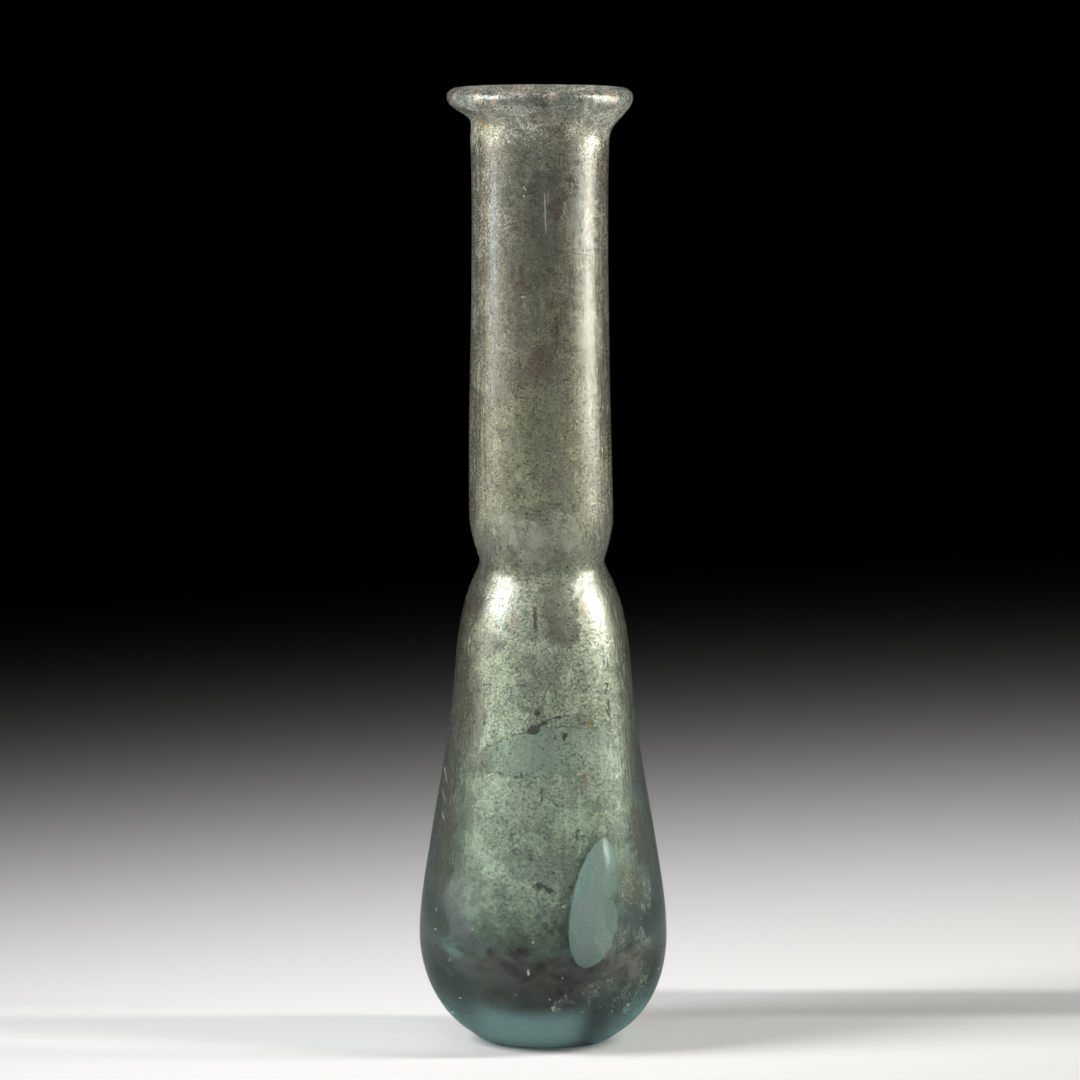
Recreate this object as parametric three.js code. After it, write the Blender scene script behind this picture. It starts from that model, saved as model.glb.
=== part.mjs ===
/**
 * A free-blown glass perfume flask, as made in Roman workshops.
 *
 * One piece of glass: a long tubular neck with a rolled lip, a slight swelling above a pinched
 * waist, and a drop-shaped body on a small flat that it stands on. It is hollow and open at the
 * mouth. The wall is thin in the neck and grows thicker downwards, to a heavy bottom.
 *
 * Millimetres, +Z up. The origin is the middle of the flat underneath, and -Y is the side where
 * the waist dips lowest.
 */
import * as THREE from 'three';

// Driving dimensions. Heights are above the surface that the flask stands on.
const HEIGHT = 120;

const FOOT_RADIUS = 7;
const BELLY_RADIUS = 15.6;
const BELLY_HEIGHT = 13.7;
const BODY_RADIUS = 11.2;
const BODY_HEIGHT = 45;
const WAIST_RADIUS = 7.8;
const WAIST_HEIGHT = 61;
const BULGE_RADIUS = 9;
const BULGE_HEIGHT = 66.5;
const NECK_RADIUS = 8.5;
const LIP_RADIUS = 11.6;
const LIP_HEIGHT = 118.9;
const CREST_RADIUS = 10.1;

const NECK_WALL = 1.7;
const BODY_WALL = 1.5;
const BELLY_WALL = 3.6;
const HOLLOW_FLOOR = 7;

// How far the hand-made shape strays from a turned one.
const NECK_OFFSET = -0.41;
const FOOT_OFFSET = 0.3;
const WAIST_DIP = 0.7;
const WAIST_KINK = 0.5;
const FLARE_SHIFT = 0.6;

// Fineness of the solid.
const SIDES = 56;
const TURN_PER_FACET = 11;
const LENGTH_PER_FACET = 8;

/** Unit vector for a heading in degrees: 0 is outwards from the axis, 90 up, 180 inwards, 270 down. */
function direction(heading) {
  const angle = THREE.MathUtils.degToRad(heading);
  return new THREE.Vector2(Math.cos(angle), Math.sin(angle));
}

/**
 * Length of a Bezier handle as a share of the chord. With these handles the curve between two
 * stations is an arc of a circle wherever both headings lie evenly about the chord.
 */
function handleShare(turn) {
  const angle = THREE.MathUtils.degToRad(Math.abs(turn));
  return angle < 1e-3 ? 1 / 3 : (2 / 3) * Math.tan(angle / 4) / Math.sin(angle / 2);
}

/** The points of one stretch of outline, from a station up to the next, without its last point. */
function stretch([startRadius, startHeight, startHeading], [endRadius, endHeight, endHeading]) {
  const start = new THREE.Vector2(startRadius, startHeight);
  const end = new THREE.Vector2(endRadius, endHeight);
  const turn = endHeading - startHeading;
  const handle = start.distanceTo(end) * handleShare(turn);
  const curve = new THREE.CubicBezierCurve(
    start,
    start.clone().addScaledVector(direction(startHeading), handle),
    end.clone().addScaledVector(direction(endHeading), -handle),
    end,
  );
  const facets = Math.ceil(Math.max(
    Math.abs(turn) / TURN_PER_FACET,
    curve.getLength() / LENGTH_PER_FACET,
  ));
  return curve.getPoints(facets).slice(0, -1);
}

/** A smooth outline through stations, each a [radius, height, heading]. */
function outline(stations) {
  const points = [];
  for (let i = 0; i + 1 < stations.length; i += 1) {
    points.push(...stretch(stations[i], stations[i + 1]));
  }
  const [radius, height] = stations.at(-1);
  points.push(new THREE.Vector2(radius, height));
  return points;
}

/** The stations of the outside, from the middle of the flat up to the crest of the lip. */
function outsideStations() {
  return [
    [0, 0, 0],
    [FOOT_RADIUS, 0, 0],
    [9.6, 1.3, 33],
    [BELLY_RADIUS, BELLY_HEIGHT, 90],
    [14.2, 25.5, 99],
    [BODY_RADIUS, BODY_HEIGHT, 95],
    [8.3, WAIST_HEIGHT - 1.75, 118],
    [WAIST_RADIUS, WAIST_HEIGHT, 90],
    [WAIST_RADIUS + 0.25, WAIST_HEIGHT + 0.8, 74],
    [BULGE_RADIUS, BULGE_HEIGHT, 90],
    [NECK_RADIUS, HEIGHT - 16, 90],
    [NECK_RADIUS + 0.1, HEIGHT - 7.5, 88],
    [9.3, HEIGHT - 3.9, 50],
    [LIP_RADIUS, LIP_HEIGHT, 90],
    [CREST_RADIUS, HEIGHT, 180],
  ];
}

/** The stations of the hollow, from the crest of the lip down to the middle of its floor. */
function insideStations() {
  const bore = NECK_RADIUS - NECK_WALL;
  return [
    [CREST_RADIUS, HEIGHT, 180],
    [7.9, HEIGHT - 2.6, 240],
    [bore, HEIGHT - 8, 268],
    [bore, HEIGHT - 16, 270],
    [BULGE_RADIUS - NECK_WALL, BULGE_HEIGHT, 270],
    [WAIST_RADIUS - NECK_WALL - 0.1, WAIST_HEIGHT, 270],
    [8.7 - NECK_WALL, WAIST_HEIGHT - 3.6, 296],
    [BODY_RADIUS - BODY_WALL, BODY_HEIGHT, 276],
    [14.2 - 3, 25.5, 275],
    [BELLY_RADIUS - BELLY_WALL - 0.3, 19, 268],
    [0, HOLLOW_FLOOR, 180],
  ];
}

/** Sideways offset of the axis at a height: the neck stands a little off the body, and the foot too. */
function axisOffset(height) {
  const neck = THREE.MathUtils.smoothstep(height, BODY_HEIGHT, 85);
  const foot = 1 - THREE.MathUtils.smoothstep(height, 0, BELLY_HEIGHT);
  return NECK_OFFSET * neck + FOOT_OFFSET * foot;
}

/** How much taller or lower the pinch of the waist lies at an angle: lowest at the front, -Y. */
function waistShift(angle, height) {
  const front = -Math.sin(angle);
  const nearWaist = Math.exp(-(((height - WAIST_HEIGHT) / 5) ** 2));
  return -(WAIST_DIP * front + WAIST_KINK * front * front) * nearWaist;
}

/** How much fuller the flare under the lip is at an angle: full on the +X side, scant on the other. */
function flareShift(angle, height) {
  const underLip = Math.exp(-(((height - (HEIGHT - 3.8)) / 1.3) ** 2));
  return FLARE_SHIFT * Math.cos(angle) * underLip;
}

/** Moves the points of a turned shape, whose axis is Z, to where the maker's hand left them. */
function shapeByHand(geometry) {
  const place = geometry.getAttribute('position');
  for (let i = 0; i < place.count; i += 1) {
    const height = place.getZ(i);
    const angle = Math.atan2(place.getY(i), place.getX(i));
    const turned = Math.hypot(place.getX(i), place.getY(i));
    const radius = turned + (turned > 1 ? flareShift(angle, height) : 0);
    place.setXYZ(
      i,
      radius * Math.cos(angle) + axisOffset(height),
      radius * Math.sin(angle),
      height + waistShift(angle, height),
    );
  }
  geometry.computeVertexNormals();
  return geometry;
}

function makeFlask() {
  const inside = outline(insideStations());
  const wall = [...outline(outsideStations()), ...inside.slice(1)];
  const geometry = new THREE.LatheGeometry(wall, SIDES);
  geometry.rotateX(Math.PI / 2);
  const glass = new THREE.MeshStandardMaterial({
    name: 'weathered glass',
    color: 0x6f8a7c,
    roughness: 0.3,
    metalness: 0,
    transparent: true,
    opacity: 0.8,
  });
  const flask = new THREE.Mesh(shapeByHand(geometry), glass);
  flask.name = 'flask';
  return flask;
}

const perfumeFlask = new THREE.Group();
perfumeFlask.name = 'perfume_flask';
perfumeFlask.add(makeFlask());

export default perfumeFlask;
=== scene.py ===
# %% [markdown]
# # A Roman perfume flask in weathered glass
#
# The flask is one gather of bluish-green glass: a long tubular neck with a rolled lip, a pinched
# waist and a drop-shaped body with a heavy bottom. Two thousand years in the ground have left a
# grey-beige film inside it and a dull skin outside. This lesson makes the glass as one thick-walled
# surface, seals a bubble in it, lines it with the film, and lights it from both sides.

import bpy
import numpy as np
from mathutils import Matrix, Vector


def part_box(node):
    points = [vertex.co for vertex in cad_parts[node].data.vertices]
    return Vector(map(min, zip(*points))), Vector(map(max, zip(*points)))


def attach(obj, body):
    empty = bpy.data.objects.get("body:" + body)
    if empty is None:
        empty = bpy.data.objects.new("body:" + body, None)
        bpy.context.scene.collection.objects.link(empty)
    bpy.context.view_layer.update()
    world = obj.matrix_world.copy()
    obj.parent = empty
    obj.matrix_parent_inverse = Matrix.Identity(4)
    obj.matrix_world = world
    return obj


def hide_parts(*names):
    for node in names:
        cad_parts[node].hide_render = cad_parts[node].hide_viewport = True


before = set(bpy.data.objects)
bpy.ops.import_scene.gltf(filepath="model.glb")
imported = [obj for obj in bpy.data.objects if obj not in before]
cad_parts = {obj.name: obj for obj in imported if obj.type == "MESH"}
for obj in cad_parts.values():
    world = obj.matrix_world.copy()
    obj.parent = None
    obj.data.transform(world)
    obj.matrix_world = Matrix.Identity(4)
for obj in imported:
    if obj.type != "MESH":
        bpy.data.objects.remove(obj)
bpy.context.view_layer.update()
low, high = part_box("flask")
MM = 0.001
height = (high.z - low.z) / MM
print(f"the flask is {height:.1f} mm tall and {(high.x - low.x) / MM:.1f} mm wide")

# %% [markdown]
# ## The outline
#
# A blown vessel is turned about its axis while it is hot, so one outline describes nearly all of it.
# It could be drawn as a long list of points, but a few stations are easier to read and to change:
# each station says how far from the axis the glass is, how high, and which way the wall heads there.
# A smooth curve joins them.

# %% Stations of the outside and of the hollow, in millimetres and degrees
foot_radius = 7
belly_radius = 15.6
belly_height = 13.7
flank_radius = 14.2
flank_height = 25.5
body_radius = 11.2
body_height = 45
waist_radius = 7.8
waist_height = 61
bulge_radius = 9
bulge_height = 66.5
neck_radius = 8.5
lip_radius = 11.6
lip_height = 118.9
crest_radius = 10.1

neck_wall = 1.7
body_wall = 1.5
flank_wall = 3.0
belly_wall = 3.6
hollow_floor = 7.0
bore = neck_radius - neck_wall

# headings: 0 is away from the axis, 90 up, 180 towards the axis, 270 down
outside_stations = [
    (0, 0, 0),
    (foot_radius, 0, 0),
    (9.6, 1.3, 33),  # heel
    (belly_radius, belly_height, 90),
    (flank_radius, flank_height, 99),
    (body_radius, body_height, 95),
    (8.3, waist_height - 1.75, 118),  # fold over the pinch
    (waist_radius, waist_height, 90),
    (waist_radius + 0.25, waist_height + 0.8, 74),  # way out of the pinch
    (bulge_radius, bulge_height, 90),
    (neck_radius, height - 16, 90),
    (neck_radius + 0.1, height - 7.5, 88),  # start of the flare
    (9.3, height - 3.9, 50),  # middle of the flare
    (lip_radius, lip_height, 90),
    (crest_radius, height, 180),
]
inside_stations = [
    (crest_radius, height, 180),
    (7.9, height - 2.6, 240),  # inside of the flare
    (bore, height - 8, 268),
    (bore, height - 16, 270),
    (bulge_radius - neck_wall, bulge_height, 270),
    (waist_radius - neck_wall - 0.1, waist_height, 270),
    (8.7 - neck_wall, waist_height - 3.6, 296),  # under the pinch
    (body_radius - body_wall, body_height, 276),
    (flank_radius - flank_wall, flank_height, 275),
    (belly_radius - belly_wall - 0.3, 19, 268),  # widest place of the hollow
    (0, hollow_floor, 180),
]
print(f"the wall is {neck_wall} mm in the neck, {body_wall} mm in the body, {belly_wall} mm in the belly")


# %% [markdown]
# ## The curve through the stations
#
# An outline of straight stretches would show as facets in glass, where every reflection follows the
# slope. A cubic Bezier between two stations has their two headings, so the stretches meet without a
# kink, and where both headings belong to one circle it runs within a hair of the circle.

# %% The curve through the stations
def stretch(start, end, spacing):
    """One stretch of outline, a cubic Bezier without its last point.

    P(t) = (1-t)^3 A + 3(1-t)^2 t B + 3(1-t)t^2 C + t^3 D. B and C lie along the headings at A and
    D, at chord * (2/3) tan(turn/4) / sin(turn/2), which makes an arc of a circle of an even turn.
    """
    a, d = np.array(start[:2], float), np.array(end[:2], float)
    first, last = np.radians(start[2]), np.radians(end[2])
    turn = max(abs(last - first), 1e-4)
    chord = np.linalg.norm(d - a)
    reach = chord * (2 / 3) * np.tan(turn / 4) / np.sin(turn / 2)
    b = a + reach * np.array([np.cos(first), np.sin(first)])
    c = d - reach * np.array([np.cos(last), np.sin(last)])
    steps = max(int(np.ceil(chord / spacing)), 2)
    t = np.linspace(0, 1, steps, endpoint=False)[:, None]
    return (1 - t) ** 3 * a + 3 * (1 - t) ** 2 * t * b + 3 * (1 - t) * t**2 * c + t**3 * d


def outline(stations, spacing=0.6):
    """All stretches joined, as rows of (radius, height)."""
    parts = [stretch(a, b, spacing) for a, b in zip(stations[:-1], stations[1:])]
    return np.concatenate(parts + [np.array([stations[-1][:2]], float)])


outside = outline(outside_stations)
inside = outline(inside_stations)
print(f"{len(outside)} points outside, {len(inside)} inside")

# %% [markdown]
# ## The maker's hand
#
# Nothing here is perfectly turned. The neck stands a little off the body, the pinch of the waist
# dips at the front, the flare under the lip is fuller on the right, and the surface has slow
# waves. Each is a small smooth function of height and angle, so the wall keeps its thickness.
# Angles run from the front, positive to the right.


# %% Offsets of the hand-made shape
neck_aside = -0.41
foot_aside = 0.3
flare_fullness = 0.6
dip = 0.7
dip_at_front = 0.5


def fade(x, start, end):
    """0 before start, 1 after end, and 3t^2 - 2t^3 between them."""
    t = np.clip((x - start) / (end - start), 0, 1)
    return t * t * (3 - 2 * t)


def hill(x, middle, width):
    """A smooth hill, exp(-((x - middle) / width)^2)."""
    return np.exp(-(((x - middle) / width) ** 2))


def axis_offset(z):
    """Sideways place of the axis: neck_aside all along the neck, foot_aside at the foot."""
    return neck_aside * fade(z, body_height, 85) + foot_aside * (1 - fade(z, 0, belly_height))


def waist_shift(angle, z):
    """The pinch lies lowest at the front: -(dip cos a + dip_at_front cos^2 a), all but gone 10 mm off."""
    front = np.cos(angle)
    return -(dip * front + dip_at_front * front**2) * hill(z, waist_height, 5)


def flare_shift(angle, z):
    """The flare is fuller on the right and as much scanter on the left: fullness * sin a."""
    return flare_fullness * np.sin(angle) * hill(z, height - 3.8, 1.3)


def ripple(angle, z):
    """Slow waves left by blowing and tooling: a few sines of angle and height."""
    waves = (
        0.03 * np.sin(2 * angle + z / 11)
        + 0.012 * np.sin(5 * angle - z / 7 + 1)
        + 0.006 * np.sin(3 * angle + z / 2.6)
    )
    return waves * fade(z, 3, 12)


def by_hand(angle, points, spread=0.0):
    """Puts an outline's points at an angle: rows are points, columns angles, then x, y, z in metres.

    x = r sin a + offset, y = -r cos a, z = h + shift, with r = radius + flare + ripple + spread.
    """
    radius, z = points[:, 0][:, None], points[:, 1][:, None]
    away = fade(radius, 0, 3)
    r = radius + away * (flare_shift(angle, z) + ripple(angle, z) + spread)
    x = r * np.sin(angle) + axis_offset(z)
    y = -r * np.cos(angle)
    return np.stack([x, y, z + waist_shift(angle, z) * away + 0 * angle], axis=-1) * MM


print(f"the pinch lies {-waist_shift(0, waist_height):.1f} mm lower at the front")

# %% [markdown]
# ## Surfaces on a grid
#
# Every piece is a grid of rings. The rings close on themselves, and a pole closes each end that
# reaches the axis. The arrays go into the mesh whole, and the faces are worked out from the
# numbers of the grid's corners.


# %% Meshes from rings
def ring_faces(rings, around):
    """Quads between neighbouring rings: (i, j), (i, j+1), (i+1, j+1), (i+1, j), j turning round."""
    i = np.arange(rings - 1)[:, None]
    j = np.arange(around)[None, :]
    k = (j + 1) % around
    corners = [i * around + j, i * around + k, (i + 1) * around + k, (i + 1) * around + j]
    return np.stack([c + 0 * (i + j) for c in corners], axis=-1).reshape(-1, 4)


def cap_faces(ring, pole, around, flip):
    """Triangles from one ring to a pole."""
    j = ring * around + np.arange(around)
    k = ring * around + (np.arange(around) + 1) % around
    order = [k, j] if flip else [j, k]
    return np.stack([*order, np.full(around, pole)], axis=-1)


def surface(name, grid, start_pole=None, end_pole=None, flip=False):
    """A smooth mesh object from a grid of rings, closed by the poles that are given."""
    rings, around = grid.shape[:2]
    points = [grid.reshape(-1, 3)]
    faces = ring_faces(rings, around)
    if flip:
        faces = faces[:, ::-1]
    faces = faces.tolist()
    for ring, pole, turn in ((0, start_pole, True), (rings - 1, end_pole, False)):
        if pole is not None:
            number = sum(len(p) for p in points)
            points.append(np.array(pole, float)[None, :])
            faces += cap_faces(ring, number, around, turn != flip).tolist()
    mesh = bpy.data.meshes.new(name)
    mesh.from_pydata(np.concatenate(points).tolist(), [], faces)
    mesh.polygons.foreach_set("use_smooth", np.ones(len(mesh.polygons), bool))
    mesh.update()
    piece = bpy.data.objects.new(name, mesh)
    bpy.context.scene.collection.objects.link(piece)
    print(f"{name}: {len(mesh.vertices)} points, {len(mesh.polygons)} faces")
    return piece


print("two rings of four points are joined by", len(ring_faces(2, 4)), "faces")

# %% [markdown]
# ## The glass
#
# The outline goes up the outside, over the lip and down the hollow, so inside and outside are one
# closed wall with its true thickness. Light then bends through it as through real glass: the
# hollow shows only in the middle, and thick clear edges stand on both sides.

# %% The thick-walled vessel
AROUND = 224
angles = np.linspace(-np.pi, np.pi, AROUND, endpoint=False)[None, :]
wall = np.concatenate([outside[1:], inside[1:-1]])
grid = by_hand(angles, wall)
bottom = by_hand(np.zeros((1, 1)), outside[:1])[0, 0]
floor_pole = by_hand(np.zeros((1, 1)), inside[-1:])[0, 0]
flask = surface("glass", grid, bottom, floor_pole)

# %% [markdown]
# ## The sealed bubble
#
# A flattened bubble of air sits low in the front wall, shaped like a leaf: blunt below, drawn out
# to a point above. Here it is a closed leaf-shaped skin inside the wall, with a second one just
# inside it for the pale crust. The skin's faces point away from the bubble, into the glass, so
# light meets a second body of glass there. For a true pocket of air they would point inwards,
# without the flip, and the crust's colour would have to be set anew, as it then looks darker.


# %% A leaf-shaped cavity
bubble_width = 3.4
bubble_depth = 0.8
bubble_cover = 1.75
leaf_peak = 0.464
bubble_low, bubble_high = 11.2, 27.2
bubble_turn = np.radians(29)
bubble_lean = np.radians(13.5)


def leaf(lengthwise, around_it, swell):
    """A flattened leaf: half-width w = W s^0.5 (1-s)^0.62 / peak, half-depth t = T w / W.

    s runs from the blunt end to the point, and (w cos p, t sin p) goes round the section.
    """
    s = lengthwise[:, None]
    shape = swell * s**0.5 * (1 - s) ** 0.62 / leaf_peak
    return bubble_width * shape * np.cos(around_it), bubble_depth * shape * np.sin(around_it)


def wall_radius(z):
    """The outer radius at a height, read off the outline below the waist."""
    below = outside[outside[:, 1] < waist_height]
    return np.interp(z, below[:, 1], below[:, 0])


def leaf_grid(swell=1.0, count=64, around=48):
    """The leaf laid in the wall: angle = turn + side / radius, radius = wall - cover + depth."""
    s = (1 - np.cos(np.linspace(0, np.pi, count + 2)[1:-1])) / 2
    p = np.linspace(0, 2 * np.pi, around, endpoint=False)[None, :]
    side, depth = leaf(s, p, swell)
    middle = (bubble_low + bubble_high) / 2
    z = middle + (s[:, None] - 0.5) * (bubble_high - bubble_low) * swell
    radius = wall_radius(z) - bubble_cover + depth
    angle = bubble_turn + bubble_lean * (s[:, None] - 0.5) + side / radius
    x = radius * np.sin(angle) + axis_offset(z)
    y = -radius * np.cos(angle)
    rings = np.stack([x, y, z + 0 * x], axis=-1) * MM
    return rings, rings[0].mean(axis=0), rings[-1].mean(axis=0)


bubble = surface("bubble", *leaf_grid(), flip=True)
lining_of_bubble = surface("bubble_lining", *leaf_grid(0.985))

# %% [markdown]
# ## One body of glass
#
# The wall and the bubble's skin are joined into one object. The bubble's skin keeps a material
# slot of its own, because it never touched the soil and is smoother than the outside.

# %% Joining the bubble's skin to the glass
bubble_skin = bpy.data.materials.new("bubble skin")
glass = bpy.data.materials.new("weathered glass")
flask.data.materials.append(glass)
bubble.data.materials.append(bubble_skin)
with bpy.context.temp_override(active_object=flask, selected_editable_objects=[flask, bubble]):
    bpy.ops.object.join()
flask.name = "flask_glass"
print("materials on the glass:", [m.name for m in flask.data.materials])

# %% [markdown]
# ## The weathering film
#
# The hollow is lined with a thin film of decayed glass and soil. It hangs a hair's breadth off the
# wall, with air between, which is why it disappears at the edges of the neck: seen at a slant, the
# wall turns into a mirror there. At the bottom, mud has dried onto the glass itself, with no air
# between, so it shows from every side.

# %% A skin beside the glass
profile = np.concatenate([outside, inside[1:]])
profile_run = np.gradient(profile, axis=0)
profile_run = profile_run / np.linalg.norm(profile_run, axis=1)[:, None]
profile_side = np.stack([profile_run[:, 1], -profile_run[:, 0]], axis=1)


def skin_grid(start, end, gap):
    """Points start..end of the outline moved off the glass: p + gap * n, n square to the run."""
    return by_hand(angles, profile[start:end] + gap * profile_side[start:end])


floor_middle = by_hand(np.zeros((1, 1)), inside[-1:])[0, 0]
crest = len(outside) - 1
last = len(profile) - 1
heights = profile[:, 1]
print(f"{crest} points up to the lip, {last - crest} down to the hollow's floor")

# %% The lining of the hollow
film_gap = 0.05
film_below_lip = 1.2
film_top = crest + int(np.sum(heights[crest:] > height - film_below_lip))
film_pole = floor_middle + [0, 0, film_gap * MM]
film = surface("inner_film", skin_grid(film_top, last, film_gap), end_pole=film_pole)

# %% The dried mud on the hollow's floor
mud_gap = 0.03
mud_reach = 16
mud_top = last - int(np.sum(heights[crest:] < mud_reach))
mud_pole = floor_middle - [0, 0, mud_gap * MM]
sediment = surface("sediment", skin_grid(mud_top, last, -mud_gap), end_pole=mud_pole)

# %% The skin of dirt and haze on the outside and over the lip
haze_gap = 0.02
haze_start = 2
haze_over_lip = 6
haze = surface("outer_haze", skin_grid(haze_start, crest + haze_over_lip, haze_gap))

# %% [markdown]
# ## Shader helpers
#
# A finish is a small machine of nodes: textures read the place on the flask, sums shape them into
# masks, and masks blend colours. Each node could be made and linked by hand in four lines. These
# helpers do it in one, so that the code of a finish reads like a recipe.


# %% Small helpers for nodes
def add(tree, kind, inputs=None, **settings):
    """A new node. Settings are its properties; inputs are values, or sockets to link from."""
    made = tree.nodes.new(kind)
    for key, value in settings.items():
        setattr(made, key, value)
    for key, value in (inputs or {}).items():
        if isinstance(value, bpy.types.NodeSocket):
            tree.links.new(value, made.inputs[key])
        else:
            made.inputs[key].default_value = value
    return made


def math(tree, operation, a, b=0.0, clamp=False):
    """One operation on two values or sockets."""
    return add(tree, "ShaderNodeMath", {0: a, 1: b}, operation=operation, use_clamp=clamp).outputs[0]


def between(tree, value, low_end, high_end, start=0.0, finish=1.0, smooth=True):
    """Maps low_end..high_end to start..finish, clamped, with a smooth step if asked."""
    ends = {"From Min": low_end, "From Max": high_end, "To Min": start, "To Max": finish}
    kind = "SMOOTHSTEP" if smooth else "LINEAR"
    made = add(tree, "ShaderNodeMapRange", {"Value": value, **ends}, interpolation_type=kind)
    return made.outputs["Result"]


def blend_colours(tree, factor, first, second, kind="MIX"):
    """The first colour where factor is 0, the second where it is 1."""
    made = add(tree, "ShaderNodeMix", data_type="RGBA", blend_type=kind)
    for number, value in ((0, factor), (6, first), (7, second)):
        if isinstance(value, bpy.types.NodeSocket):
            tree.links.new(value, made.inputs[number])
        else:
            made.inputs[number].default_value = value if number == 0 else (*value, 1)
    return made.outputs[2]


def ramp(tree, value, stops):
    """A colour ramp: stops are (position, colour or grey)."""
    made = add(tree, "ShaderNodeValToRGB", {"Fac": value})
    elements = made.color_ramp.elements
    while len(elements) < len(stops):
        elements.new(0.5)
    for element, (position, colour) in zip(elements, stops):
        element.position = position
        element.color = (*colour, 1) if isinstance(colour, tuple) else (colour, colour, colour, 1)
    return made.outputs["Color"]


# %% Starting a finish or a group
def start_material(name, *pieces):
    """An empty material on some pieces: its tree, its output and the object's place in millimetres."""
    material = bpy.data.materials.get(name) or bpy.data.materials.new(name)
    for piece in pieces:
        piece.data.materials.append(material)
    material.use_nodes = True
    tree = material.node_tree
    tree.nodes.clear()
    out = tree.nodes.new("ShaderNodeOutputMaterial")
    place = tree.nodes.new("ShaderNodeTexCoord").outputs["Object"]
    scaled = add(tree, "ShaderNodeVectorMath", {0: place, "Scale": 1 / MM}, operation="SCALE")
    return tree, out, scaled.outputs["Vector"]


def count_nodes(name, tree):
    """Prints how many nodes a finish or a group has so far."""
    print(f"{name}: {len(tree.nodes)} nodes")


def start_group(name, inputs, outputs):
    """An empty node group with named sockets: inputs are (name, kind, value), outputs (name, kind)."""
    tree = bpy.data.node_groups.new(name, "ShaderNodeTree")
    for label, kind, value in inputs:
        socket = tree.interface.new_socket(label, in_out="INPUT", socket_type=kind)
        socket.default_value = value
    for label, kind in outputs:
        tree.interface.new_socket(label, in_out="OUTPUT", socket_type=kind)
    return tree, tree.nodes.new("NodeGroupInput").outputs, tree.nodes.new("NodeGroupOutput").inputs


def use_group(tree, group, **inputs):
    """Places a group in a tree, with its inputs set, and gives its outputs."""
    made = add(tree, "ShaderNodeGroup", node_tree=group)
    for key, value in inputs.items():
        if isinstance(value, bpy.types.NodeSocket):
            tree.links.new(value, made.inputs[key])
        else:
            made.inputs[key].default_value = value
    return made.outputs


FLOAT, VECTOR = "NodeSocketFloat", "NodeSocketVector"
print("materials so far:", len(bpy.data.materials))

# %% [markdown]
# ## The texture of decayed glass
#
# Buried glass decays in layers. It shows fine grain, cloudy blotches, flakes with torn edges, pits,
# pale flecks, thin dark veins, rings and drips. Every finish here needs some of these at its own
# scale, so they are made once, as a node group, from noise textures for what is cloudy and Voronoi
# cells for what comes in spots. It also gives the place moved about by noise, ragged or crumbly:
# a mark drawn there gets a torn edge.


# %% Patterns
def noise(tree, vector, scale, detail=2.0, roughness=0.6, distortion=0.0):
    """A noise texture: layers of smooth noise, each finer one weaker by the roughness."""
    values = {"Vector": vector, "Scale": scale, "Detail": detail}
    values.update({"Roughness": roughness, "Distortion": distortion})
    return add(tree, "ShaderNodeTexNoise", values)


def stretched(tree, vector, share):
    """The place with its height multiplied, which draws a pattern out upwards."""
    factors = add(tree, "ShaderNodeCombineXYZ", {"X": 1.0, "Y": 1.0, "Z": share}).outputs[0]
    return add(tree, "ShaderNodeVectorMath", {0: vector, 1: factors}, operation="MULTIPLY").outputs[0]


def dots(tree, vector, scale, rarity, size):
    """Small round dots of uneven size, one at most in each cell of a Voronoi pattern."""
    cells = add(tree, "ShaderNodeTexVoronoi", {"Vector": vector, "Scale": scale})
    chance = add(tree, "ShaderNodeSeparateColor", {0: cells.outputs["Color"]}).outputs[0]
    radius = between(tree, chance, rarity, 1.0, 0.0, size, smooth=False)
    return between(tree, math(tree, "SUBTRACT", radius, cells.outputs["Distance"]), -0.02, 0.05)


def jittered(tree, vector, texture, amount):
    """The place moved by a noise texture's colour less its mean, times an amount in millimetres."""
    values = {0: texture.outputs["Color"], 1: (0.5, 0.5, 0.5)}
    away = add(tree, "ShaderNodeVectorMath", values, operation="SUBTRACT").outputs[0]
    away = add(tree, "ShaderNodeVectorMath", {0: away, "Scale": amount}, operation="SCALE").outputs[0]
    return add(tree, "ShaderNodeVectorMath", {0: vector, 1: away}, operation="ADD").outputs[0]


print("patterns ready:", [made.__name__ for made in (noise, stretched, dots, jittered)])

# %% Group: the texture of decayed glass
textures = ("Grain", "Blotch", "Drift", "Flakes", "Pits", "Flecks", "Veins", "Streaks", "Rings")
weathering, entry, leave = start_group(
    "weathering",
    [("Place", VECTOR, (0, 0, 0)), ("Fine", FLOAT, 0.25), ("Stretch", FLOAT, 0.5)],
    [(name, FLOAT) for name in textures] + [("Ragged", VECTOR), ("Crumbly", VECTOR)],
)
tree = weathering
place = entry["Place"]
fine = noise(tree, place, math(tree, "DIVIDE", 1.0, entry["Fine"]), 2.0, 0.7).outputs["Fac"]
drawn = stretched(tree, place, entry["Stretch"])
broad = noise(tree, drawn, 0.55, 6.0, 0.68, 0.3)
slow = noise(tree, drawn, 0.14, 3.0, 0.6).outputs["Fac"]
lines = noise(tree, place, 0.42, 5.0, 0.6, 0.8).outputs["Fac"]
ridge = math(tree, "ABSOLUTE", math(tree, "SUBTRACT", lines, 0.5))
veins = math(tree, "MULTIPLY", between(tree, ridge, 0.012, 0.002), between(tree, slow, 0.46, 0.54))
streaks = noise(tree, stretched(tree, place, 0.06), 2.2, 3.0, 0.6).outputs["Fac"]
flakes = noise(tree, place, 0.22, 8.0, 0.66, 0.2).outputs["Fac"]
crumbs = noise(tree, place, 1.7, 2.0, 0.6)
count_nodes("weathering", tree)

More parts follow.
